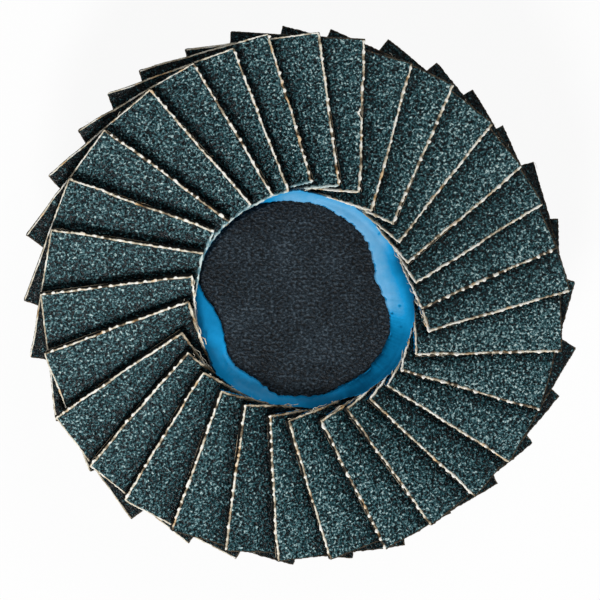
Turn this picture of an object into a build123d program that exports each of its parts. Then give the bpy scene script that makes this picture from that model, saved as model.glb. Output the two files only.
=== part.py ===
from build123d import *
from bisect import bisect_right
from math import atan2, cos, degrees, hypot, isclose, radians, sin, tan
import os

# Quick-change flap disc with a closed centre. Millimetres, +Z is the turning axis and points out
# of the working face. The origin is the middle of the stud's flat end, where the disc stands.
# A "turn" is an angle clockwise from +Y, seen from the working face, because the flaps were laid
# that way round.

# ---- Driving dimensions ----------------------------------------------------------------------

# Flaps: rectangles of coated abrasive cloth
FLAP_LENGTH = 13.9
FLAP_WIDTH = 12.1
CLOTH_THICKNESS = 0.8
FLAP_SPACING = 0.2           # slack between two flaps, over the cloth's thickness
FLAP_OVERHANG = 2.7          # how far the flaps reach past the flange
WELL_GAP = 0.55              # from the raised centre's wall out to the flaps' inner ends
CONE_ANGLE = 5.0             # the stack falls away this much towards the rim

# Backing plate: one moulding
FLANGE_THICKNESS = 1.9
FLANGE_RIM_THICKNESS = 1.3
FLANGE_EDGE_RADIUS = 0.4
CENTRE_RADIUS = 9.6
CENTRE_HEIGHT = 4.0          # above the flange
CENTRE_EDGE_RADIUS = 0.5
SHOULDER_RADIUS = 10.0       # the back face that the holder seats on
SHOULDER_HEIGHT = 0.6
STUD_LENGTH = 7.0            # from the shoulder to the flat end
STUD_CORE_RADIUS = 3.6
STUD_END_CHAMFER = 0.5
THREAD_CREST_RADIUS = 4.65
THREAD_PITCH = 3.0
THREAD_ROOT_WIDTH = 1.9
THREAD_CREST_WIDTH = 1.0
THREAD_CLEAR_OF_SHOULDER = 1.6   # from the thread's middle line, as is the next
THREAD_CLEAR_OF_END = 1.7
THREAD_SINK = 0.3            # how far the thread's root reaches into the core
SEAT_CLEAR_OF_THREAD = 0.15  # so that the shoulder's flat ring starts outside the thread

# Adhesive: one cast body of epoxy
BED_THICKNESS = 0.2          # under the lowest flap corner
ADHESIVE_SETBACK = 0.5       # from the flange's rim
BOND_LINE = 0.05             # left between the adhesive and each flap or the centre's wall
SKIN_THICKNESS = 0.35        # where it has run onto the centre
FILLET_RISE = 1.0            # how far it climbs the flap ends, above the centre
SKIN_GUTTER = 0.5            # how far it lies below the centre's top where none ran over

# How the flaps came to lie: turn of the top edge's middle, lean of that edge from the radius
# (both degrees), and how many FLAP_SLIPs the flap has slipped outwards
FLAP_SLIP = 0.1
FLAP_LAY = [
    (9.0, 16.5, 1), (19.0, 16.5, 2), (29.5, 13.5, -3), (40.5, 16.0, -2),
    (51.5, 12.0, -3), (63.0, 12.0, -4), (73.0, 13.5, -3), (84.0, 16.5, -3),
    (94.5, 19.0, 4), (107.0, 17.0, 3), (119.0, 12.0, 4), (131.0, 8.5, 6),
    (141.5, 9.0, 5), (153.0, 9.5, 2), (165.0, 12.5, 3), (178.0, 16.0, -2),
    (189.0, 13.5, 0), (201.0, 15.0, -3), (214.0, 16.0, -2), (226.5, 16.5, -1),
    (237.5, 18.0, 0), (249.5, 15.0, 4), (263.0, 14.0, -4), (276.0, 13.5, -4),
    (290.0, 11.5, -4), (302.0, 12.5, -2), (314.0, 8.0, -2), (327.5, 9.0, -2),
    (339.0, 10.0, -2), (348.0, 9.0, -1), (357.5, 14.0, 3),
]

# Where the adhesive stopped on the centre, as shares of its radius in even steps of turn from +Y.
# A share over 1 is a stretch that it never ran over.
SKIN_EDGE = [
    0.955, 0.925, 0.89, 0.875, 0.815, 0.77, 0.825, 0.915, 0.95, 0.955, 0.94, 0.95,
    0.945, 0.94, 0.875, 0.89, 0.835, 0.795, 0.89, 1.03, 1.03, 1.03, 1.03, 0.985,
]

# Steps that a flap's gentle twist is divided into
STEPS_ALONG = 3
STEPS_ACROSS = 4
SAME_SIZE = 1e-6             # share by which two sizes of one edge may differ
LAY_BLEND = 30.0             # degrees of turn over which uneven laying evens out in the stack

# ---- Heights and levels worked out from them --------------------------------------------------

SHOULDER_LEVEL = STUD_LENGTH
FLANGE_BACK = SHOULDER_LEVEL + SHOULDER_HEIGHT
FLANGE_TOP = FLANGE_BACK + FLANGE_THICKNESS
CENTRE_TOP = FLANGE_TOP + CENTRE_HEIGHT
WELL_RADIUS = CENTRE_RADIUS + WELL_GAP
FLAP_REACH = WELL_RADIUS + FLAP_LENGTH
FLAP_MIDDLE = WELL_RADIUS + FLAP_LENGTH / 2
FLANGE_RADIUS = FLAP_REACH - FLAP_OVERHANG
FLAP_RISE = CLOTH_THICKNESS + FLAP_SPACING
BED_LEVEL = FLANGE_TOP + BED_THICKNESS
FLAP_TURNS = [turn for turn, lean, slips in FLAP_LAY]
STUD_ROOT_FILLET = THREAD_CREST_RADIUS - STUD_CORE_RADIUS + SEAT_CLEAR_OF_THREAD


# ---- The stack: every flap lies one rise above the next one clockwise ----------------------------

def flaps_laid(turn):
    """Number of flaps laid from the start up to this turn, as a running fraction."""
    laps, turn = divmod(turn - FLAP_TURNS[0], 360)
    turn += FLAP_TURNS[0]
    marks = FLAP_TURNS + [FLAP_TURNS[0] + 360]
    last = min(bisect_right(marks, turn), len(FLAP_TURNS)) - 1
    part_way = (turn - marks[last]) / (marks[last + 1] - marks[last])
    return laps * len(FLAP_TURNS) + last + part_way


def flaps_laid_evenly(turn):
    """The same, evened out over LAY_BLEND to each side, because cloth bridges uneven gaps."""
    samples = [turn + LAY_BLEND * step / 4 for step in range(-4, 5)]
    return sum(flaps_laid(sample) for sample in samples) / len(samples)


def stack_height(x, y, number):
    """Height of the underside of flap `number` over a point, from an arbitrary level."""
    turn = degrees(atan2(x, y))
    turn += 360 * round((FLAP_TURNS[number] - turn) / 360)
    return FLAP_RISE * (flaps_laid_evenly(turn) - number) - tan(radians(CONE_ANGLE)) * hypot(x, y)


class Flap:
    """One flap's place: `along` runs outwards down the flap, `across` runs clockwise to its top edge."""

    def __init__(self, number):
        turn, lean, slips = FLAP_LAY[number]
        heading = radians(turn - lean)
        self.number = number
        self.along = Vector(sin(heading), cos(heading))
        self.across = Vector(cos(heading), -sin(heading))
        self.outer = FLAP_REACH + slips * FLAP_SLIP
        self.inner = self.outer - FLAP_LENGTH
        self.top_edge = FLAP_MIDDLE * tan(radians(lean))
        self.low_edge = self.top_edge - FLAP_WIDTH

    def underside(self, distance_out, distance_across):
        """The point of the underside at these distances along and across, before it is bedded."""
        place = self.along * distance_out + self.across * distance_across
        return Vector(place.X, place.Y, stack_height(place.X, place.Y, self.number))

    def lowest(self):
        corners = [self.underside(out, self.low_edge) for out in (self.inner, self.outer)]
        return min(corner.Z for corner in corners)


FLAPS = [Flap(number) for number in range(len(FLAP_LAY))]
STACK_LIFT = BED_LEVEL - min(flap.lowest() for flap in FLAPS)


def strip(flap, inner, outer, low, top, thickness, lowered=0.0):
    """A solid on the flap's twisted underside, over this stretch along it and across it."""
    sections = []
    for step in range(STEPS_ALONG + 1):
        reach = inner + (outer - inner) * step / STEPS_ALONG
        shares = [part / STEPS_ACROSS for part in range(STEPS_ACROSS + 1)]
        line = [flap.underside(reach, low + (top - low) * share) for share in shares]
        climb = (line[-1] - line[0]).normalized()
        out_of_face = climb.cross(flap.along)
        under = [point + Vector(0, 0, STACK_LIFT - lowered) for point in line]
        over = [point + out_of_face * thickness for point in under]
        sections.append(Wire.make_polygon(under + over[::-1], close=True))
    return Solid.make_loft(sections, ruled=True)


def make_flap(flap):
    return strip(flap, flap.inner, flap.outer, flap.low_edge, flap.top_edge, CLOTH_THICKNESS)


# ---- Backing plate ---------------------------------------------------------------------------------

def plate_body():
    """Flange, raised centre, back shoulder and stud core, turned in one."""
    rim_level = FLANGE_TOP - FLANGE_RIM_THICKNESS
    with BuildPart() as body:
        with BuildSketch(Plane.XZ):
            with BuildLine():
                Polyline(
                    (0, 0),
                    (STUD_CORE_RADIUS, 0),
                    (STUD_CORE_RADIUS, SHOULDER_LEVEL),
                    (SHOULDER_RADIUS, SHOULDER_LEVEL),
                    (SHOULDER_RADIUS, FLANGE_BACK),
                    (FLANGE_RADIUS, rim_level),
                    (FLANGE_RADIUS, FLANGE_TOP),
                    (CENTRE_RADIUS, FLANGE_TOP),
                    (CENTRE_RADIUS, CENTRE_TOP),
                    (0, CENTRE_TOP),
                    close=True,
                )
            make_face()
        revolve(axis=Axis.Z)
        fillet(edges_at(body, FLANGE_RADIUS, rim_level), FLANGE_EDGE_RADIUS)
        fillet(edges_at(body, CENTRE_RADIUS, CENTRE_TOP), CENTRE_EDGE_RADIUS)
        fillet(edges_at(body, STUD_CORE_RADIUS, SHOULDER_LEVEL), STUD_ROOT_FILLET)
        chamfer(edges_at(body, STUD_CORE_RADIUS, 0), STUD_END_CHAMFER)
    return body.part


def edges_at(body, radius, level):
    """The round edges of this radius at this level."""
    rings = body.edges().filter_by(GeomType.CIRCLE)
    return rings.filter_by(lambda ring: isclose(ring.radius, radius, rel_tol=SAME_SIZE)
                           and isclose(ring.arc_center.Z, level, abs_tol=SAME_SIZE * radius))


def stud_thread():
    """The stud's coarse thread: a blunt ridge wound round the core."""
    height = STUD_LENGTH - THREAD_CLEAR_OF_SHOULDER - THREAD_CLEAR_OF_END
    root_radius = STUD_CORE_RADIUS - THREAD_SINK
    root_half, crest_half = THREAD_ROOT_WIDTH / 2, THREAD_CREST_WIDTH / 2
    helix = Helix(THREAD_PITCH, height, root_radius).moved(Location((0, 0, THREAD_CLEAR_OF_END)))
    start = Plane((root_radius, 0, THREAD_CLEAR_OF_END), x_dir=(1, 0, 0), z_dir=(0, -1, 0))
    with BuildSketch(start) as ridge:
        with BuildLine():
            Polyline(
                (0, -root_half),
                (THREAD_CREST_RADIUS - root_radius, -crest_half),
                (THREAD_CREST_RADIUS - root_radius, crest_half),
                (0, root_half),
                close=True,
            )
        make_face()
    return sweep(ridge.sketch, path=helix, is_frenet=True)


def make_backing_plate():
    return plate_body() + stud_thread()


# ---- Adhesive --------------------------------------------------------------------------------------

def adhesive_blank():
    """Bed, wedges and well fillet before the flaps are pressed in, and the skin on the centre."""
    wall = CENTRE_RADIUS + BOND_LINE
    rim = FLANGE_RADIUS - ADHESIVE_SETBACK
    skin_top = CENTRE_TOP + SKIN_THICKNESS
    fillet_top = skin_top + FILLET_RISE
    with BuildPart() as blank:
        with BuildSketch(Plane.XZ):
            with BuildLine():
                Polyline((WELL_RADIUS, fillet_top), (rim, fillet_top), (rim, FLANGE_TOP), (wall, FLANGE_TOP))
                Polyline((wall, FLANGE_TOP), (wall, CENTRE_TOP), (0, CENTRE_TOP), (0, skin_top))
                Line((0, skin_top), (CENTRE_RADIUS, skin_top))
                TangentArc((CENTRE_RADIUS, skin_top), (WELL_RADIUS, fillet_top), tangent=(1, 0))
            make_face()
        revolve(axis=Axis.Z)
    return blank.part


def bare_centre():
    """The space over the centre that the adhesive never reached."""
    floor = CENTRE_TOP - SKIN_GUTTER
    points = []
    for count, share in enumerate(SKIN_EDGE):
        turn = radians(360 * count / len(SKIN_EDGE))
        radius = CENTRE_RADIUS * share
        points.append(Vector(radius * sin(turn), radius * cos(turn), floor))
    outline = Wire(Edge.make_spline(points, periodic=True))
    depth = SKIN_GUTTER + SKIN_THICKNESS + FILLET_RISE
    return Solid.extrude(Face(outline), Vector(0, 0, depth))


def pocket(flap):
    """The room that a flap and whatever lies on it takes out of the adhesive."""
    room = CENTRE_HEIGHT + SKIN_THICKNESS + FILLET_RISE
    return strip(flap, flap.inner - BOND_LINE, flap.outer, flap.low_edge - BOND_LINE,
                 flap.top_edge + BOND_LINE, room, lowered=BOND_LINE)


def make_adhesive():
    body = adhesive_blank() - bare_centre()
    for flap in FLAPS:
        body = body - pocket(flap)
    return max(body.solids(), key=lambda solid: solid.volume)


# ---- Write one file for each piece -------------------------------------------------------------------

def main():
    os.makedirs("parts", exist_ok=True)
    export_step(make_backing_plate(), "parts/backing_plate.step")
    export_step(make_adhesive(), "parts/adhesive.step")
    for flap in FLAPS:
        export_step(make_flap(flap), f"parts/flap_{flap.number + 1:02d}.step")


main()
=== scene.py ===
import math

import bpy
import numpy as np
from mathutils import Matrix, Vector
from mathutils.bvhtree import BVHTree


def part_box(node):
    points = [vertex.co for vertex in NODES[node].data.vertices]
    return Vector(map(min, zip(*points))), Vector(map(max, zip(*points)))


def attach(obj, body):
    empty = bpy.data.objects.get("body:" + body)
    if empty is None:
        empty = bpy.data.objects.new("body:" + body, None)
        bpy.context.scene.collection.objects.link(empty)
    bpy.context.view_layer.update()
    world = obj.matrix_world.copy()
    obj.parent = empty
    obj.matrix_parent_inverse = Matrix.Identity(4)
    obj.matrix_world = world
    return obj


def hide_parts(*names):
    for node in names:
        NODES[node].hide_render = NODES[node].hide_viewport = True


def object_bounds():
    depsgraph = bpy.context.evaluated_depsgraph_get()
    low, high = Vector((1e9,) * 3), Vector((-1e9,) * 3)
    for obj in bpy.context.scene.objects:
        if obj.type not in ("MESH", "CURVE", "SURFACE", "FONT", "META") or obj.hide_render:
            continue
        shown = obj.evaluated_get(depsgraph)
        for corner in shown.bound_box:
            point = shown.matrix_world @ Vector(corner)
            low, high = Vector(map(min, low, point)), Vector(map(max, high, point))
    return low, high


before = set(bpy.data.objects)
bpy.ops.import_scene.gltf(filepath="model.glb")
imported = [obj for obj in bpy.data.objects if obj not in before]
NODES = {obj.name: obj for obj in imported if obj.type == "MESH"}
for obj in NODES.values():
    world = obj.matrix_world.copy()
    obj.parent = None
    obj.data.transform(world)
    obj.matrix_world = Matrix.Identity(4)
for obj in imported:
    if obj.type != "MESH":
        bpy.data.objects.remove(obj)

# A small flap disc, dressed. Lengths are metres, written as millimetres times MM. A "turn" is an
# angle clockwise from +Y seen from above, as the flaps were laid.

MM = 0.001
RANDOM_SEED = 20
TONE = "tone"
FLAP_NAMES = sorted(name for name in NODES if name.startswith("flap_"))
CAD_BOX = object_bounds()

# ---- Sizes of the finish -------------------------------------------------------------------------

GRAIN_SIZE = 0.3 * MM            # one abrasive grain
GRAIN_LAYER = 0.3 * MM           # grain and size coat, on top of the cloth
GRAIN_RELIEF = 0.1 * MM
MEAN_GRAIN = 0.55                # this share of the relief lies below the CAD flap's top face
FINE_LENGTH = 0.13 * MM          # fine unevenness over the grains
FINE_SHARE = 0.45
GRID_STEP = 0.12 * MM            # fine grid, where a flap shows
COARSE_STEP = 0.3 * MM           # across, where the next flap covers it
SHOWN_WIDTH = 6.0 * MM
YARN_PITCH = 0.85 * MM           # from one bright yarn end to the next
EDGE_STEP = 0.1 * MM
FIBRES_PER_FLAP = 12
FIBRE_RADIUS = 0.024 * MM
YARN_RADIUS = 0.05 * MM
YARN_DRIFT = 1.7 * MM            # over about this length the yarns crowd and spread
YARN_CROWDING = 0.9              # by up to so many yarns
TUFT_HEIGHT = 0.07 * MM          # how far a tuft stands up
FULL_TUFTS = 1.4                 # over 1, so that some tufts are of full size
TUFT_PEAK = 1.15                 # over 1, so that a tuft's tip is blunt
TUFT_SPREAD = 0.2                # in yarns
TUFT_TONE = 1.2                  # how much cleaner a tuft is
BETWEEN_TUFTS = 0.3              # where the tuft is less than this share of a full one, the edge is dirtier
RAGGED_LENGTH = 0.15 * MM        # the cloth's edge is ragged over this length
RAGGEDNESS = 1.6
STREAK_LENGTH = 0.55 * MM        # and streaked over this one
STREAKINESS = 0.9
LOOSE_YARNS = [(55, 195, 5), (200, 262, 4), (272, 345, 0)]     # from turn, to turn, on each flap there
LOOSE_YARNS_ELSEWHERE = 1
PALE_ENDS_FROM = 200             # from this turn on the cloth shows pale at the outer ends
DARK_ENDS_BY = 0.5               # and before it, it is so much less clean
SOAKED_FROM = 272                # from this one on adhesive has soaked the inner ends
DULL_TURNS = (150, 245, 30)      # from, to, softness: the inner ends are dull here
DULLER_BY = 0.38
COAT_SPREAD = 0.01               # how much the size coat's tone varies from flap to flap
PAINTED_SHADE_AND_LIGHT_SWING = 0.018               # painted shade round one turn and painted light opposite, evening out the lamps over the flaps
# the turn round which that painted shade is darkest
PAINTED_SHADE_TURN = 250
WALL_DARKNESS = 0.1              # the grain layer's broken sides are darker than its top
CREVICE_SHADE_WIDTH = 0.75 * MM        # how far painted shade reaches out from under the next flap
# how dark that painted shade is next to the flap's edge
CREVICE_SHADE_DARKNESS = 0.15
GRAIN_INSET = 0.02 * MM          # the grain and the cloth's back stop about this short of the cut
EDGE_WANDER = 0.12 * MM          # a cut edge strays from straight within this, half of it each way
WANDER_LENGTH = 2.2 * MM         # over about this length
ROUGH_LENGTH = 0.2 * MM          # the grain's own edge is broken over this length
LEAST_GAP, GAP_SPREAD = 0.2, 1.6     # smallest share of its gap, and how much more there can be

# A nick in the cut edge on top of a flap: how far out from the inner end, and how deep
NO_NOTCH = (0, 0)
NOTCHES = {"flap_02": (7.2 * MM, 0.34 * MM)}
NOTCH_WIDTH = 0.5 * MM

# How each cut edge looks: how far the grain stops short of it, how far the cloth's edge and its
# tufts stand out, and how clean the cotton is, from 0 to 1
EDGES = {
    "inner": (0.14 * MM, 0.06 * MM, 0.04 * MM, 0.66),
    "top": (0.105 * MM, 0.065 * MM, 0.15 * MM, 0.64),
    "outer": (0.05 * MM, 0.04 * MM, 0.04 * MM, 0.55),
    "low": (0.02 * MM, 0.02 * MM, 0.03 * MM, 0.1),
}
# Salts keep the random patterns of different edges and uses apart
SALTS = {"inner": 1, "outer": 2, "low": 3, "top": 4}
SALTS_PER_FLAP = 10
ROUGH_SALT, FINE_SALT, STREAK_SALT, SPACING_SALT, TUFT_SALT, RAGGED_SALT = 3, 5, 6, 7, 8, 9
FIBRE_SHARES = {"inner": 5, "top": 1, "outer": 0.5, "low": 0}     # how likely a loose fibre is

GRIT_SLOT, CLOTH_SLOT, SOAKED_SLOT = 0, 1, 2      # a flap's materials, in the order they are given


# ---- Noise ---------------------------------------------------------------------------------------

HASH_FACTORS = (127.1, 311.7, 74.7)
HASH_SCALE = 43758.5453
SHORTEST_GRAIN = 0.35            # as a share of the tallest
GRAIN_PEAK = 1.25                # over 1, so that a grain's top is cut flat
GRAIN_SPREAD = 0.62              # in cells


def hash01(a, b, salt):
    """Repeatable random numbers from 0 to 1 for whole-number pairs."""
    x = np.sin(a * HASH_FACTORS[0] + b * HASH_FACTORS[1] + salt * HASH_FACTORS[2]) * HASH_SCALE
    return x - np.floor(x)


def smooth_noise(x, y, salt):
    """Value noise from 0 to 1, with cells one unit wide."""
    xi, yi = np.floor(x), np.floor(y)
    fx, fy = x - xi, y - yi
    sx, sy = fx * fx * (3 - 2 * fx), fy * fy * (3 - 2 * fy)
    low = hash01(xi, yi, salt) * (1 - sx) + hash01(xi + 1, yi, salt) * sx
    high = hash01(xi, yi + 1, salt) * (1 - sx) + hash01(xi + 1, yi + 1, salt) * sx
    return low * (1 - sy) + high * sy


def grains(x, y, salt):
    """Height from 0 to 1 of grains scattered one to a cell, each with its own height and place."""
    best = np.zeros_like(x)
    xi, yi = np.floor(x), np.floor(y)
    for dx in (-1, 0, 1):
        for dy in (-1, 0, 1):
            cx, cy = xi + dx, yi + dy
            px = cx + hash01(cx, cy, salt)
            py = cy + hash01(cx, cy, salt + 1)
            tall = SHORTEST_GRAIN + (1 - SHORTEST_GRAIN) * hash01(cx, cy, salt + 2)
            away = np.hypot(x - px, y - py)
            best = np.maximum(best, tall * np.clip(GRAIN_PEAK - away / GRAIN_SPREAD, 0, 1))
    return best


def noise_along(distance, length, salt):
    """Value noise from 0 to 1 along a line, with cells of this length."""
    return smooth_noise(distance / length, distance * 0, salt)


def window(turn, start, end, soft):
    """1 between two turns, falling to 0 outside them over `soft` degrees."""
    return np.clip((turn - start) / soft + 0.5, 0, 1) * np.clip((end - turn) / soft + 0.5, 0, 1)


# ---- Materials -----------------------------------------------------------------------------------

def srgb(red, green, blue):
    """A colour given as 0 to 255 screen values, as the linear colour that a shader takes."""
    parts = [value / 255 for value in (red, green, blue)]
    return [p / 12.92 if p <= 0.04045 else ((p + 0.055) / 1.055) ** 2.4 for p in parts] + [1.0]


# Places of a colour Mix node's sockets
MIX_SHARE, MIX_FIRST, MIX_SECOND, MIX_RESULT = 0, 6, 7, 2


class Recipe:
    """A node material: a Principled shader and short ways to add and join nodes.

    Where a method takes a node's value, that is a number, a colour or another node's output.
    """

    def __init__(self, name, **values):
        self.material = bpy.data.materials.new(name)
        self.material.use_nodes = True
        self.tree = self.material.node_tree
        self.shader = self.tree.nodes["Principled BSDF"]
        self.place = self.add("ShaderNodeTexCoord").outputs["Object"]
        for key, value in values.items():
            self.shader.inputs[key.replace("_", " ")].default_value = value

    def add(self, kind, **settings):
        node = self.tree.nodes.new(kind)
        for key, value in settings.items():
            setattr(node, key, value)
        return node

    def join(self, source, target):
        self.tree.links.new(source, target)

    def noise(self, size, detail=2.0, roughness=0.5, distortion=0.0, stretch=(1, 1, 1)):
        node = self.add("ShaderNodeTexNoise")
        node.inputs["Scale"].default_value = 1 / size
        node.inputs["Detail"].default_value = detail
        node.inputs["Roughness"].default_value = roughness
        node.inputs["Distortion"].default_value = distortion
        stretched = self.add("ShaderNodeMapping")
        stretched.inputs["Scale"].default_value = [1 / part for part in stretch]
        self.join(self.place, stretched.inputs["Vector"])
        self.join(stretched.outputs["Vector"], node.inputs["Vector"])
        return node.outputs["Fac"]

    def ramp(self, source, stops):
        node = self.add("ShaderNodeValToRGB")
        while len(node.color_ramp.elements) < len(stops):
            node.color_ramp.elements.new(0.5)
        for element, (at, colour) in zip(node.color_ramp.elements, stops):
            element.position = at
            element.color = colour
        self.join(source, node.inputs["Fac"])
        return node.outputs["Color"]

    def feed(self, socket, value):
        if isinstance(value, bpy.types.NodeSocket):
            self.join(value, socket)
        else:
            socket.default_value = value

    def multiply_colours(self, first, second):
        node = self.add("ShaderNodeMix", data_type="RGBA", blend_type="MULTIPLY")
        for socket, value in ((MIX_SHARE, 1.0), (MIX_FIRST, first), (MIX_SECOND, second)):
            self.feed(node.inputs[socket], value)
        return node.outputs[MIX_RESULT]

    def sums(self, operation, first, second):
        node = self.add("ShaderNodeMath", operation=operation)
        self.feed(node.inputs[0], first)
        self.feed(node.inputs[1], second)
        return node.outputs[0]

    def plus(self, level, source, share):
        """A level with so much of another value added to it."""
        return self.sums("ADD", level, self.sums("MULTIPLY", source, share))

    def tone(self):
        """The tone that the mesh carries at each point."""
        return self.add("ShaderNodeAttribute", attribute_name=TONE).outputs["Fac"]

    def bump(self, height, distance, strength=1.0):
        node = self.add("ShaderNodeBump")
        node.inputs["Distance"].default_value = distance
        node.inputs["Strength"].default_value = strength
        self.join(height, node.inputs["Height"])
        self.join(node.outputs["Normal"], self.shader.inputs["Normal"])

    def set(self, name, source):
        self.join(source, self.shader.inputs[name])


def grit_material():
    """Dark teal size coat over sharp grains, each catching the light in its own way. The palest specks of
    its colour are partly the grains' own and partly painted glints.
    """
    recipe = Recipe("grit", Roughness=0.36, Specular_IOR_Level=0.2)
    grain = recipe.noise(GRAIN_SIZE * 0.72, detail=1.0, roughness=0.55, distortion=0.55)
    tone = recipe.tone()
    patch = recipe.noise(4.0 * MM, detail=1.0)
    level = recipe.sums("ADD", grain, recipe.plus(tone, patch, 0.03))
    # the palest stops are partly the grains' own colour and partly painted glints
    recipe.set("Base Color", recipe.ramp(level, [
        (0.35, srgb(0, 4, 6)), (0.42, srgb(0, 20, 25)), (0.475, srgb(8, 42, 48)),
        (0.53, srgb(30, 68, 74)), (0.59, srgb(62, 100, 106)), (0.655, srgb(110, 143, 147)),
        (0.74, srgb(192, 212, 210)),
    ]))
    recipe.bump(grain, GRAIN_SIZE * 0.6)
    return recipe.material


def cloth_material():
    """Cotton backing: cream where a tuft stands out, brown with resin and grit between tufts, near black
    where its wall under the tufts is painted dark as shade.
    """
    recipe = Recipe("cloth", Roughness=0.9, Specular_IOR_Level=0.2)
    tuft = recipe.tone()
    rough = recipe.noise(0.2 * MM, detail=3.0, roughness=0.6)
    level = recipe.plus(tuft, rough, 0.5)
    colour = recipe.ramp(level, [
        (0.25, srgb(30, 32, 30)), (0.45, srgb(112, 98, 78)), (0.62, srgb(190, 178, 154)),
        (0.80, srgb(234, 227, 208)), (1.0, srgb(250, 248, 240)),
    ])
    stain = recipe.noise(YARN_PITCH * 1.3, detail=1.0)
    stained = recipe.ramp(stain, [(0.60, srgb(255, 255, 255)), (0.72, srgb(238, 208, 170))])
    recipe.set("Base Color", recipe.multiply_colours(colour, stained))
    thread = recipe.noise(0.08 * MM, detail=2.0)
    recipe.bump(thread, 0.05 * MM)
    return recipe.material


def nylon_material():
    """Black moulded nylon with a fine leather grain, longer along X."""
    recipe = Recipe("black_nylon", Roughness=0.42, Specular_IOR_Level=0.14)
    wrinkle = recipe.noise(0.25 * MM, detail=2.0, roughness=0.6, distortion=0.25, stretch=(1.2, 0.9, 1))
    patch = recipe.noise(4.0 * MM, detail=2.0)
    level = recipe.plus(wrinkle, patch, 0.3)
    recipe.set("Base Color", recipe.ramp(level, [
        (0.52, srgb(3, 7, 11)), (0.64, srgb(17, 27, 34)), (0.75, srgb(35, 47, 56)), (0.85, srgb(68, 81, 90)),
    ]))
    recipe.bump(wrinkle, 0.15 * MM)
    return recipe.material


def epoxy_material():
    """Blue cast epoxy, satin and a little cloudy. The tone, which holds painted shade and painted light on
    the ring, darkens it, or pales it where below 0.
    """
    recipe = Recipe("blue_epoxy", Roughness=0.5, Specular_IOR_Level=0.12)
    depth = recipe.tone()
    cloud = recipe.noise(1.3 * MM, detail=4.0, roughness=0.6)
    level = recipe.plus(recipe.plus(0.35, depth, 0.5), cloud, 0.3)
    recipe.set("Base Color", recipe.ramp(level, [
        (0.0, srgb(118, 178, 220)), (0.15, srgb(84, 164, 212)), (0.3, srgb(20, 152, 214)),
        (0.5, srgb(4, 126, 180)), (0.75, srgb(0, 90, 134)), (1.0, srgb(0, 44, 68)),
    ]))
    ripple = recipe.noise(0.8 * MM, detail=2.0)
    recipe.bump(ripple, 0.05 * MM)
    return recipe.material


def soaked_material():
    """Cotton ends soaked with adhesive: pale blue-grey."""
    recipe = Recipe("soaked_cloth", Roughness=0.6, Specular_IOR_Level=0.2)
    tuft = recipe.tone()
    rough = recipe.noise(0.3 * MM, detail=3.0, roughness=0.6)
    level = recipe.plus(tuft, rough, 0.6)
    recipe.set("Base Color", recipe.ramp(level, [
        (0.3, srgb(14, 40, 50)), (0.6, srgb(70, 104, 112)),
        (0.85, srgb(120, 156, 164)), (1.0, srgb(206, 222, 220)),
    ]))
    recipe.bump(rough, 0.05 * MM)
    return recipe.material


# ---- Meshes --------------------------------------------------------------------------------------

class Build:
    """Collects points and faces for one piece, then makes it. Each point has a tone for its shader."""

    def __init__(self):
        self.points = []
        self.tones = []
        self.faces = []
        self.slots = []
        self.count = 0

    def add_grid(self, points, slot, tone=0.0, closed=False):
        """points[row, column, xyz]. With closed, the last column joins the first."""
        rows, columns = points.shape[:2]
        row = np.arange(rows - 1)[:, None]
        column = np.arange(columns if closed else columns - 1)[None, :]
        after = (column + 1) % columns
        corners = np.broadcast_arrays(row * columns + column, row * columns + after,
                                      (row + 1) * columns + after, (row + 1) * columns + column)
        self.faces.append(np.stack(corners, axis=-1).reshape(-1, 4) + self.count)
        self.slots.append(np.broadcast_to(slot, corners[0].shape).ravel())
        self.points.append(points.reshape(-1, 3))
        self.tones.append(np.broadcast_to(tone, (rows, columns)).ravel())
        self.count += rows * columns

    def make(self, name, materials):
        points = np.concatenate(self.points)
        faces = np.concatenate(self.faces)
        mesh = bpy.data.meshes.new(name)
        mesh.vertices.add(len(points))
        mesh.vertices.foreach_set("co", points.ravel())
        mesh.loops.add(faces.size)
        mesh.loops.foreach_set("vertex_index", faces.ravel())
        mesh.polygons.add(len(faces))
        mesh.polygons.foreach_set("loop_start", np.arange(0, faces.size, 4))
        mesh.polygons.foreach_set("material_index", np.concatenate(self.slots))
        mesh.polygons.foreach_set("use_smooth", np.full(len(faces), True))
        mesh.attributes.new(TONE, "FLOAT", "POINT").data.foreach_set("value", np.concatenate(self.tones))
        for material in materials:
            mesh.materials.append(material)
        mesh.update(calc_edges=True)
        mesh.validate()
        piece = bpy.data.objects.new(name, mesh)
        bpy.context.scene.collection.objects.link(piece)
        return piece


LEAST_AREA = 1e-14               # twice the area, in square metres, of a triangle worth keeping


def mesh_arrays(node):
    """World corners of a node's triangles and their normals."""
    mesh = NODES[node].data
    mesh.calc_loop_triangles()
    points = np.empty(len(mesh.vertices) * 3)
    mesh.vertices.foreach_get("co", points)
    index = np.empty(len(mesh.loop_triangles) * 3, dtype=np.int64)
    mesh.loop_triangles.foreach_get("vertices", index)
    world = np.array(NODES[node].matrix_world)
    points = points.reshape(-1, 3) @ world[:3, :3].T + world[:3, 3]
    corners = points[index.reshape(-1, 3)]
    normals = np.cross(corners[:, 1] - corners[:, 0], corners[:, 2] - corners[:, 0])
    lengths = np.linalg.norm(normals, axis=1)
    keep = lengths > LEAST_AREA
    return corners[keep], normals[keep] / lengths[keep][:, None]


# ---- Flaps ---------------------------------------------------------------------------------------

UPRIGHT = 0.01                   # a wall's normal rises less than this, as a share
FACES_DOWN = -0.5
FACES_UP = 0.5
SAME_PLACE = 1e-6
TWIST_POWERS = (3, 4)            # terms of the underside's curve along and across the flap


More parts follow.
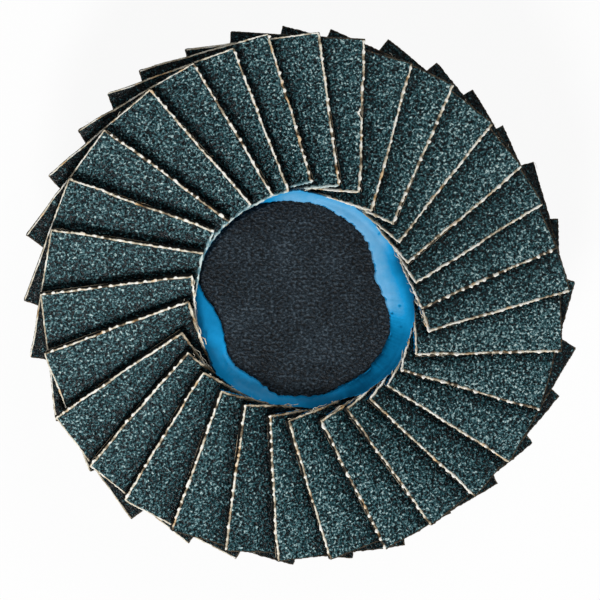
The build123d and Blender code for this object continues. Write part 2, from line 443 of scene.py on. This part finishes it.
class FlapShape:
    """The flap's own frame and its gently twisted underside, read from its CAD solid."""

    def __init__(self, node):
        corners, normals = mesh_arrays(node)
        upright = np.abs(normals[:, 2]) < UPRIGHT
        outwards = np.sum(corners.mean(axis=1)[:, :2] * normals[:, :2], axis=1) > 0
        self.along = normals[upright & outwards].mean(axis=0)
        self.along[2] = 0
        self.along /= np.linalg.norm(self.along)
        self.across = np.array([self.along[1], -self.along[0], 0.0])
        self.turn = math.degrees(math.atan2(self.along[0], self.along[1])) % 360
        self.notch = NOTCHES.get(node, NO_NOTCH)
        under = corners[normals[:, 2] < FACES_DOWN].reshape(-1, 3)
        over = corners[normals[:, 2] > FACES_UP].reshape(-1, 3)
        out, side = under @ self.along, under @ self.across
        self.inner, self.length = out.min(), np.ptp(out)
        self.low, self.width = side.min(), np.ptp(side)
        powers = self.powers((out - self.inner) / self.length, (side - self.low) / self.width)
        self.bends = np.linalg.lstsq(powers, under[:, 2], rcond=None)[0]
        end_under = under[out > out.max() - SAME_PLACE]
        end_over = over[over @ self.along > out.max() - SAME_PLACE]
        edge = end_under[np.argmax(end_under @ self.across)]
        self.thickness = np.linalg.norm(end_over[np.argmax(end_over @ self.across)] - edge)

    @staticmethod
    def powers(p, q):
        p, q = np.broadcast_arrays(p, q)
        most_along, most_across = TWIST_POWERS
        terms = [p ** i * q ** j for i in range(most_along) for j in range(most_across)]
        return np.stack(terms, axis=-1)

    def at(self, out, side, lift):
        """Points `out` from the inner end, `side` from the low edge and `lift` over the underside."""
        p, q = out / self.length, side / self.width
        height = self.powers(p, q) @ self.bends
        climb = (self.powers(p, np.ones_like(q)) - self.powers(p, np.zeros_like(q))) @ self.bends
        slope = np.arctan(climb / self.width)
        reach = (self.inner + out)[..., None] * self.along
        place = reach + (self.low + side - lift * np.sin(slope))[..., None] * self.across
        place[..., 2] += height + lift * np.cos(slope)
        return place


def edge_wander(distance, salt, notch):
    """How far a cut edge strays from straight, slowly, along its length, and in a notch."""
    at, depth = notch
    nick = depth * np.clip(1 - np.abs(distance - at) / NOTCH_WIDTH, 0, 1)
    return EDGE_WANDER * (noise_along(distance, WANDER_LENGTH, salt) - 0.5) - nick


def grain_sheet(build, shape, over, salt, tone):
    """The grain layer: a fine grid of grains, broken back unevenly from the cut edges.

    It is painted darker, as shade, where it goes under the next flap, `over`.
    """
    along = np.linspace(0, shape.length, round(shape.length / GRID_STEP))
    shown = np.linspace(shape.width - SHOWN_WIDTH, shape.width, round(SHOWN_WIDTH / GRID_STEP))
    covered_width = shape.width - SHOWN_WIDTH
    covered = np.linspace(0, covered_width, round(covered_width / COARSE_STEP), endpoint=False)
    out, side = np.meshgrid(along, np.concatenate([covered, shown]), indexing="ij")

    def short_of(place, edge):
        rough = noise_along(place, ROUGH_LENGTH, salt + SALTS[edge] + ROUGH_SALT)
        notch = shape.notch if edge == "top" else NO_NOTCH
        gap = EDGES[edge][0] * (LEAST_GAP + GAP_SPREAD * rough) + GRAIN_INSET
        return gap - edge_wander(place, salt + SALTS[edge], notch)

    inner_gap, outer_gap = short_of(side, "inner"), short_of(side, "outer")
    low_gap, high_gap = short_of(out, "low"), short_of(out, "top")
    out = inner_gap + out * (shape.length - inner_gap - outer_gap) / shape.length
    side = low_gap + side * (shape.width - low_gap - high_gap) / shape.width
    relief = grains(out / GRAIN_SIZE, side / GRAIN_SIZE, salt) - MEAN_GRAIN
    fine = smooth_noise(out / FINE_LENGTH, side / FINE_LENGTH, salt + FINE_SALT) - 0.5
    top = shape.at(out, side, shape.thickness + GRAIN_RELIEF * (relief + FINE_SHARE * fine))
    foot = shape.at(out, side, np.full_like(out, shape.thickness - GRAIN_LAYER))
    # painted shade on the grain, out from under the next flap's edge
    past_next = np.maximum(top @ over.across - over.low - over.width, 0)
    tones = tone - CREVICE_SHADE_DARKNESS * np.exp(-past_next / CREVICE_SHADE_WIDTH)
    build.add_grid(top[:, ::-1], GRIT_SLOT, tones[:, ::-1])
    walls = [np.concatenate([grid[0], grid[1:, -1], grid[-1, -2::-1], grid[-2:0:-1, 0]])
             for grid in (top, foot)]
    build.add_grid(np.stack(walls), GRIT_SLOT, tone - WALL_DARKNESS, closed=True)


def cut_outline(shape):
    """Stations round the flap's outline: edge name, place (out, side), outward direction, distance."""
    edges = [("inner", (0, 0), (0, 1)), ("top", (0, 1), (1, 1)),
             ("outer", (1, 1), (1, 0)), ("low", (1, 0), (0, 0))]
    size = np.array([shape.length, shape.width])
    names, places, facings, walked = [], [], [], []
    distance = 0.0
    for name, start, end in edges:
        start, end = np.array(start) * size, np.array(end) * size
        run = end - start
        length = np.linalg.norm(run)
        steps = np.linspace(0, 1, round(length / EDGE_STEP), endpoint=False)
        names += [name] * len(steps)
        places.append(start + steps[:, None] * run)
        facings.append(np.tile([-run[1], run[0]] / length, (len(steps), 1)))
        walked.append(distance + steps * length)
        distance += length
    return names, np.concatenate(places), np.concatenate(facings), np.concatenate(walked)


# The cut edge from the top of the cloth to its underside: height as a share of the thickness, how
# far in from the edge, share of the bulge and tufts, share of the tone. A tone share below 0 paints
# the wall under the tufts dark as painted shade.
EDGE_PROFILE = [
    (0.62, 0.45 * MM, 0.0, 0.4), (0.86, 0.16 * MM, 0.1, 0.8), (0.98, 0.06 * MM, 0.4, 1.0),
    (0.97, 0.0, 0.9, 1.0), (0.89, 0.0, 1.0, 0.7), (0.80, 0.0, 0.8, -0.3), (0.25, 0.0, 0.5, -0.3),
    (0.01, 0.02 * MM, 0.2, -0.3), (0.0, 0.3 * MM, 0.0, -0.3),
]


def cloth_edge(build, shape, salt, beaded):
    """The cut edge of the cloth all round: a frayed rim, with a tuft at each yarn's end."""
    names, places, facings, walked = cut_outline(shape)
    bulge, tuft, clean = (np.array([EDGES[name][item] for name in names]) for item in (1, 2, 3))
    edge = np.array(names)
    clean = clean - DULLER_BY * window(shape.turn, *DULL_TURNS) * (edge == "inner")
    if shape.turn < PALE_ENDS_FROM:
        clean = np.where(edge == "outer", clean - DARK_ENDS_BY, clean)
    soaked = (edge == "inner") & (shape.turn > SOAKED_FROM)
    yarns = walked / YARN_PITCH + YARN_CROWDING * noise_along(walked, YARN_DRIFT, salt + SPACING_SALT)
    which = np.floor(yarns)
    size = np.clip(FULL_TUFTS * hash01(which, which * 0, salt + TUFT_SALT), 0, 1)
    bead = size * np.clip(TUFT_PEAK - ((yarns - which - 0.5) / TUFT_SPREAD) ** 2, 0, 1)
    ragged = noise_along(walked, RAGGED_LENGTH, salt + RAGGED_SALT) - 0.5
    streak = noise_along(walked, STREAK_LENGTH, salt + STREAK_SALT) - 0.5
    along_edge = np.where(facings[:, 0] != 0, places[:, 1], places[:, 0])
    notch = (shape.notch[0], np.where(edge == "top", shape.notch[1], 0))
    wander = edge_wander(along_edge, salt + np.array([SALTS[name] for name in names]), notch)
    tone = clean * (1 + STREAKINESS * streak)
    tone = tone + TUFT_TONE * beaded * (bead - BETWEEN_TUFTS) * (edge == "top")
    rows = []
    tones = []
    for level, inset, share, shade in EDGE_PROFILE:
        out_by = share * (bulge * (1 + RAGGEDNESS * ragged) + beaded * tuft * bead) - inset + wander
        spot = places + facings * out_by[:, None]
        lift = shape.thickness * level + share * beaded * TUFT_HEIGHT * bead
        rows.append(shape.at(spot[:, 0], spot[:, 1], lift))
        # a tone share below 0 paints the wall under the tufts dark, as painted shade
        tones.append(shade * tone)
    slots = np.where(soaked, SOAKED_SLOT, CLOTH_SLOT)
    build.add_grid(np.stack(rows), slots, np.stack(tones), closed=True)


BACK_GRID = (15, 13)
BACK_TONE = 0.35


def cloth_back(build, shape):
    """The cloth's underside."""
    along = np.linspace(0, shape.length, BACK_GRID[0])
    across = np.linspace(0, shape.width, BACK_GRID[1])
    out, side = np.meshgrid(along, across, indexing="ij")
    out = np.clip(out, GRAIN_INSET, shape.length - GRAIN_INSET)
    side = np.clip(side, GRAIN_INSET, shape.width - GRAIN_INSET)
    build.add_grid(shape.at(out, side, np.zeros_like(out)), CLOTH_SLOT, BACK_TONE)


THREAD_SIDES = 5
THREAD_TONE = 0.55
FIBRE_STEPS, YARN_STEPS = 7, 14
FIBRE_LENGTHS = (0.3, 0.9)       # shortest and longest, in millimetres
FIBRE_SWING, FIBRE_CURL = 0.9, 1.3   # spreads of its direction and of its bend, in radians
FIBRE_REACH = 0.35               # how far it stands out, as a share of how far it lies along
FIBRE_LEVELS = (0.5, 0.9)        # where it leaves the cloth, as shares of the thickness
YARN_LENGTHS = (0.8, 3.0)
YARN_STARTS = (0.35, 1.0)        # as shares of the flap's width
YARN_SWAY, YARN_IN = 0.32, 0.1   # how far it wanders and lies inside the end, in millimetres
YARN_LEVEL, YARN_RISE = 0.45, 0.6    # its least height and what it rises by, in thicknesses
SWAY_LENGTH, RISE_LENGTH = 0.5 * MM, 0.8 * MM
BEADED = (0.45, 1.0)             # how full a flap's tufts are, least and most


def add_thread(build, shape, out, side, lift, radius):
    """A thin thread, tapering to half, through places given in the flap's own frame."""
    spread = radius * np.linspace(1, 0.5, len(out))
    rings = [shape.at(out + spread * math.cos(angle), side, lift + spread * math.sin(angle))
             for angle in np.linspace(0, 2 * math.pi, THREAD_SIDES, endpoint=False)]
    build.add_grid(np.stack(rings, axis=1), CLOTH_SLOT, THREAD_TONE, closed=True)


def fibres(build, shape, draw):
    """Loose cotton fibres standing out of the cut edges, most of them at the inner end."""
    names, places, facings, walked = cut_outline(shape)
    weights = np.array([FIBRE_SHARES[name] for name in names])
    for at in draw.choice(len(places), FIBRES_PER_FLAP, p=weights / weights.sum()):
        length = draw.uniform(*FIBRE_LENGTHS) * MM
        steps = np.linspace(0, 1, FIBRE_STEPS)
        bend = draw.normal(0, FIBRE_SWING) + draw.normal(0, FIBRE_CURL) * steps
        facing, sideways = facings[at], np.array([-facings[at][1], facings[at][0]])
        path = places[at] + length * (facing * (FIBRE_REACH * steps * np.cos(bend))[:, None]
                                      + sideways * (steps * np.sin(bend))[:, None])
        level = np.full(len(steps), shape.thickness * draw.uniform(*FIBRE_LEVELS))
        add_thread(build, shape, path[:, 0], path[:, 1], level, FIBRE_RADIUS)


def loose_yarns(build, shape, draw):
    """Yarns pulled out of the inner end, lying along it in loose curves."""
    counts = [count for start, end, count in LOOSE_YARNS if start < shape.turn < end]
    for _ in range(counts[0] if counts else LOOSE_YARNS_ELSEWHERE):
        steps = np.linspace(0, 1, YARN_STEPS)
        length = draw.uniform(*YARN_LENGTHS) * MM
        start = shape.width * draw.uniform(*YARN_STARTS)
        salt = draw.integers(1000)
        sway = noise_along(steps * length, SWAY_LENGTH, salt) - 0.5
        rise = noise_along(steps * length, RISE_LENGTH, salt + 1)
        out = (YARN_SWAY * sway - YARN_IN) * MM
        side = np.clip(start - length * steps, 0, shape.width)
        lift = shape.thickness * (YARN_LEVEL + YARN_RISE * rise)
        add_thread(build, shape, out, side, lift, YARN_RADIUS)


def make_flap(node, number, shapes, materials, draw):
    shape = shapes[number]
    salt = SALTS_PER_FLAP * number + 1
    build = Build()
    # The size coat's tone differs at random from flap to flap; its swing by turn is painted shade and
    # painted light.
    coat = draw.normal(0, COAT_SPREAD) - PAINTED_SHADE_AND_LIGHT_SWING * math.cos(math.radians(shape.turn - PAINTED_SHADE_TURN))
    grain_sheet(build, shape, shapes[number - 1], salt, coat)
    cloth_edge(build, shape, salt, draw.uniform(*BEADED))
    cloth_back(build, shape)
    fibres(build, shape, draw)
    loose_yarns(build, shape, draw)
    piece = build.make("dressed_" + node, materials)
    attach(piece, "root")
    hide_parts(node)


# ---- Adhesive where it shows ---------------------------------------------------------------------

RING_TURNS = 720
RING_STEPS = 36
RING_CROWDING = 1.4              # the grid's rows crowd towards the rim by this power
SEARCH_FROM = 6.5 * MM           # where the search for the skin and the flap ends starts
RING_REACH = 12.0 * MM           # and where it gives up
SEARCH_STEP = 0.04 * MM
SKIN_SHOWS = 0.1 * MM            # there is skin where the CAD's adhesive is so far above the centre
LATEST_START = 0.1 * MM          # the ring starts no further out than this past the flap ends
ENDS_EVENED = 20                 # the flap ends' line is evened out over so many steps each way
SKIN_ROUND = 0.05 * MM           # over about this length its rim is rounded
SKIN_RIM = 0.09 * MM             # how far it reaches in past the CAD's skin
SKIN_COVER = 0.1 * MM            # and lies above it
RING_PAST_ENDS = 0.8 * MM        # how far it goes out under the flap ends
SMOOTHED_ROWS = 8                # the CAD's adhesive is smoothed over so many rows
SMOOTHED_TURNS = 10              # and steps round the ring, both ways
FILLET_WIDTH = 0.8 * MM
FILLET_RISE = 0.5 * MM
FILLET_END = 1.6                 # from one width inside the flap ends, it rises for so many widths
SINK_INTO_FLAP = 0.25 * MM       # under a flap it stays this far below the flap's top
RIM_SINK = 0.02 * MM             # the rim goes so far into the centre
NARROWEST = 0.3 * MM             # its shades are spread over at least this width

# The rim's raggedness: within what range, over how many degrees, and a salt
CREEPS = [(0.2 * MM, 3.0, 3), (0.1 * MM, 1.2, 4)]
CREEP_FADE = 6                   # it dies out away from the rim by this power

BUBBLE_RADIUS = 0.1 * MM
BUBBLE_DEPTH = 0.6               # as a share of that
# Bubbles, read off the photo: turn, distance from the axis in millimetres, darkness
BUBBLES = [(93.7, 9.18, 1.2), (98.9, 8.64, 1.5), (50.2, 9.48, 1.0), (105.0, 9.6, 0.4)]

SHADE_FALL = 2.5                 # most of the change from inside to outside is near the flap ends
# Painted shade and light round the ring: darker where the flap ends' shade falls and round the
# lower right, paler as a painted highlight at the upper right and as painted light in the flap
# ends' shadow at the lower left. From turn, to turn, softness, darkening inside and outside
RING_PAINTED_SHADE_AND_LIGHT = [
    (-16, 101, 16, -0.85, -0.55), (62, 97, 12, 0.0, 1.3), (112, 172, 24, 0.3, 0.45),
    (185, 245, 24, -0.45, -0.4), (225, 275, 16, 0.0, 0.4),
]


def surface_under(tree, x, y, top):
    """Height of the first surface met going down, or None."""
    hit = tree.ray_cast(Vector((x, y, top)), Vector((0, 0, -1)))
    return None if hit[0] is None else hit[0].z


def tree_of(nodes):
    """A search tree over several nodes' triangles."""
    corners = np.concatenate([mesh_arrays(node)[0] for node in nodes])
    points = [Vector(point) for point in corners.reshape(-1, 3)]
    return BVHTree.FromPolygons(points, [(i, i + 1, i + 2) for i in range(0, len(points), 3)])


def first_radius(tree, x, y, radii, level):
    """The first of these radii at which the tree's surface is above a level."""
    top = CAD_BOX[1][2] + MM
    heights = ((radius, surface_under(tree, x * radius, y * radius, top)) for radius in radii)
    return next((radius for radius, height in heights if height is not None and height > level), None)


def heights_under(tree, x, y, top, missing):
    """Heights of the first surface met going down from each place of a grid."""
    found = [surface_under(tree, *place, top) for place in zip(x.ravel(), y.ravel())]
    return np.array([missing if height is None else height for height in found]).reshape(x.shape)


def near(grid, pick):
    """Over each place's neighbours on the ring, their largest or their mean."""
    rows, turns = SMOOTHED_ROWS, SMOOTHED_TURNS
    padded = np.pad(np.pad(grid, ((rows, rows), (0, 0)), "edge"), ((0, 0), (turns, turns)), "wrap")
    windows = np.lib.stride_tricks.sliding_window_view(padded, (2 * rows + 1, 2 * turns + 1))
    return pick(windows, axis=(2, 3))


def ring_limits(adhesive, flaps, turns, centre_top):
    """How far out the ring starts and how far out the flap ends are, at each turn."""
    radii = np.arange(SEARCH_FROM, RING_REACH, SEARCH_STEP)
    ways = [(math.sin(turn), math.cos(turn)) for turn in turns]
    outer = np.array([first_radius(flaps, *way, radii, 0) for way in ways])
    skin = [first_radius(adhesive, *way, radii, centre_top + SKIN_SHOWS) for way in ways]
    inner = np.array([start or RING_REACH for start in skin])
    ends = np.concatenate([outer[-ENDS_EVENED:], outer, outer[:ENDS_EVENED]])
    window_size = 2 * ENDS_EVENED + 1
    outer = np.convolve(ends, np.ones(window_size) / window_size, "valid")
    return np.minimum(inner - SKIN_RIM, outer + LATEST_START), outer


def ring_tones(wave, across):
    """Painted shade and light over the ring, by turn and from its rim out to the flap ends."""
    tones = 0
    for start, end, soft, inside, outside in RING_PAINTED_SHADE_AND_LIGHT:
        there = sum(window(wave + whole, start, end, soft) for whole in (-360, 0))
        tones = tones + there * (inside + (outside - inside) * across ** SHADE_FALL)
    return tones


def make_ring(material):
    """The satin skin of adhesive round the centre.

    It lies just over the CAD's adhesive, smoothed, with a rounded and ragged rim, and goes out
    under the flap ends.
    """
    centre_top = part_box("backing_plate")[1][2]
    above = CAD_BOX[1][2] + MM
    adhesive, flaps = tree_of(["adhesive"]), tree_of(FLAP_NAMES)
    turns = np.linspace(0, 2 * math.pi, RING_TURNS, endpoint=False)
    wave = np.degrees(turns)
    inner, outer = ring_limits(adhesive, flaps, turns, centre_top)
    creep = sum(size * (noise_along(wave, length, salt) - 0.5) for size, length, salt in CREEPS)
    share = np.linspace(0, 1, RING_STEPS)[:, None] ** RING_CROWDING
    from_rim = (outer + RING_PAST_ENDS - inner) * share
    radius = inner + from_rim + creep * (1 - share) ** CREEP_FADE
    x, y = np.sin(turns) * radius, np.cos(turns) * radius
    solid = heights_under(adhesive, x, y, above, centre_top)
    roof = heights_under(flaps, x, y, above, above)
    bed = near(near(np.minimum(solid, roof), np.max), np.mean) + SKIN_COVER
    bed = bed + FILLET_RISE * np.clip(1 - (outer - radius) / FILLET_WIDTH, 0, FILLET_END) ** 2
    height = centre_top - RIM_SINK + (bed - centre_top) * (1 - np.exp(-from_rim / SKIN_ROUND))
    across = np.clip((radius - inner) / np.maximum(outer - inner, NARROWEST), 0, 1)
    # painted shade and painted light over the ring
    tones = ring_tones(wave, across)
    for turn, out, dark in BUBBLES:
        away = np.hypot(radius - out * MM, (wave - turn) * radius * math.pi / 180) / BUBBLE_RADIUS
        tones = tones + dark * np.exp(-away ** 2)
        height = height - BUBBLE_DEPTH * BUBBLE_RADIUS * np.exp(-away ** 2)
    height = np.minimum(height, roof - SINK_INTO_FLAP)
    grid = np.stack([x, y, height], axis=-1)
    build = Build()
    build.add_grid(grid[:, ::-1], 0, tones[:, ::-1], closed=True)
    piece = build.make("adhesive_ring", [material])
    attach(piece, "root")


# ---- Stage ---------------------------------------------------------------------------------------

PICTURE_PIXELS = 600
PIXEL = 0.0921 * MM                      # what a pixel spans at the centre's top face
CAMERA_DISTANCE = 0.55
CAMERA_TILT = math.radians(8.9)
CAMERA_TURN = math.radians(-45)          # the camera stands this far round from +Y
LAMP_DISTANCE = 0.5
WORLD_STRENGTH = 0.16
FLOOR_SIZE = 1.5                         # from its middle to a side
FLOOR_COLOUR = (0.85, 0.85, 0.85, 1)
FLOOR_WHITE = 0.92                       # share of plain white in what the camera sees of it
NEAREST, FARTHEST = 0.01, 10             # what the camera takes in
AIM_PIXEL = (299.5, 299.5)               # where the centre's top face lies in the picture


def make_camera():
    """A long lens a little off the axis, as the photo was taken."""
    data = bpy.data.cameras.new("camera")
    camera = bpy.data.objects.new("camera", data)
    bpy.context.scene.collection.objects.link(camera)
    data.lens = data.sensor_width * CAMERA_DISTANCE / (PICTURE_PIXELS * PIXEL)
    data.clip_start, data.clip_end = NEAREST, FARTHEST
    aim = Vector((0, 0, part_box("backing_plate")[1][2]))
    away = Vector((math.sin(CAMERA_TURN) * math.sin(CAMERA_TILT),
                   math.cos(CAMERA_TURN) * math.sin(CAMERA_TILT), math.cos(CAMERA_TILT)))
    right = Vector((0, 1, 0)).cross(away).normalized()
    up = away.cross(right)
    shift_right = (PICTURE_PIXELS / 2 - AIM_PIXEL[0]) * PIXEL
    shift_up = (AIM_PIXEL[1] - PICTURE_PIXELS / 2) * PIXEL
    camera.location = aim + away * CAMERA_DISTANCE + right * shift_right + up * shift_up
    camera.rotation_mode = "QUATERNION"
    camera.rotation_quaternion = Matrix((right, up, away)).transposed().to_quaternion()
    bpy.context.scene.camera = camera


def area_light(name, turn, climb, size, power):
    """A round soft lamp, this far round from +Y and this high (degrees), aimed at the disc."""
    turn, climb = math.radians(turn), math.radians(climb)
    data = bpy.data.lights.new(name, "AREA")
    data.shape = "DISK"
    data.size = size
    data.energy = power
    lamp = bpy.data.objects.new(name, data)
    bpy.context.scene.collection.objects.link(lamp)
    level = math.cos(climb) * LAMP_DISTANCE
    lamp.location = (math.sin(turn) * level, math.cos(turn) * level, math.sin(climb) * LAMP_DISTANCE)
    lamp.rotation_mode = "QUATERNION"
    lamp.rotation_quaternion = (-lamp.location).to_track_quat("-Z", "Y")


def make_lights():
    area_light("key", turn=198, climb=45, size=0.14, power=2.3)
    area_light("second", turn=30, climb=50, size=0.4, power=0.75)


def make_world():
    """Soft light from all round."""
    world = bpy.data.worlds.new("studio")
    world.use_nodes = True
    bpy.context.scene.world = world
    background = world.node_tree.nodes["Background"]
    background.inputs["Color"].default_value = (1, 1, 1, 1)
    background.inputs["Strength"].default_value = WORLD_STRENGTH


def floor_material():
    """Pale floor. Most of what the camera or a reflection sees of it is plain white."""
    recipe = Recipe("floor", Roughness=0.9)
    recipe.shader.inputs["Base Color"].default_value = FLOOR_COLOUR
    path = recipe.add("ShaderNodeLightPath")
    seen = recipe.sums("MAXIMUM", path.outputs["Is Camera Ray"], path.outputs["Is Glossy Ray"])
    seen = recipe.sums("MAXIMUM", seen, path.outputs["Is Transmission Ray"])
    white = recipe.add("ShaderNodeEmission")
    blend = recipe.add("ShaderNodeMixShader")
    recipe.join(recipe.sums("MULTIPLY", seen, FLOOR_WHITE), blend.inputs[0])
    recipe.join(recipe.shader.outputs[0], blend.inputs[1])
    recipe.join(white.outputs[0], blend.inputs[2])
    recipe.join(blend.outputs[0], recipe.tree.nodes["Material Output"].inputs["Surface"])
    return recipe.material


def make_floor():
    corners = [(x * FLOOR_SIZE, y * FLOOR_SIZE, 0) for x, y in ((-1, -1), (1, -1), (1, 1), (-1, 1))]
    mesh = bpy.data.meshes.new("floor")
    mesh.from_pydata(corners, [], [(0, 1, 2, 3)])
    mesh.materials.append(floor_material())
    floor = bpy.data.objects.new("floor", mesh)
    bpy.context.scene.collection.objects.link(floor)


# ---- Put together --------------------------------------------------------------------------------

def dress_cad(node, material):
    mesh = NODES[node].data
    mesh.materials.clear()
    mesh.materials.append(material)


def main():
    bpy.context.scene.view_settings.view_transform = "Standard"
    make_camera()
    make_lights()
    make_world()
    make_floor()
    epoxy = epoxy_material()
    dress_cad("backing_plate", nylon_material())
    dress_cad("adhesive", epoxy)
    make_ring(epoxy)
    draw = np.random.default_rng(RANDOM_SEED)
    materials = [grit_material(), cloth_material(), soaked_material()]
    shapes = [FlapShape(node) for node in FLAP_NAMES]
    for number, node in enumerate(FLAP_NAMES):
        make_flap(node, number, shapes, materials, draw)


main()
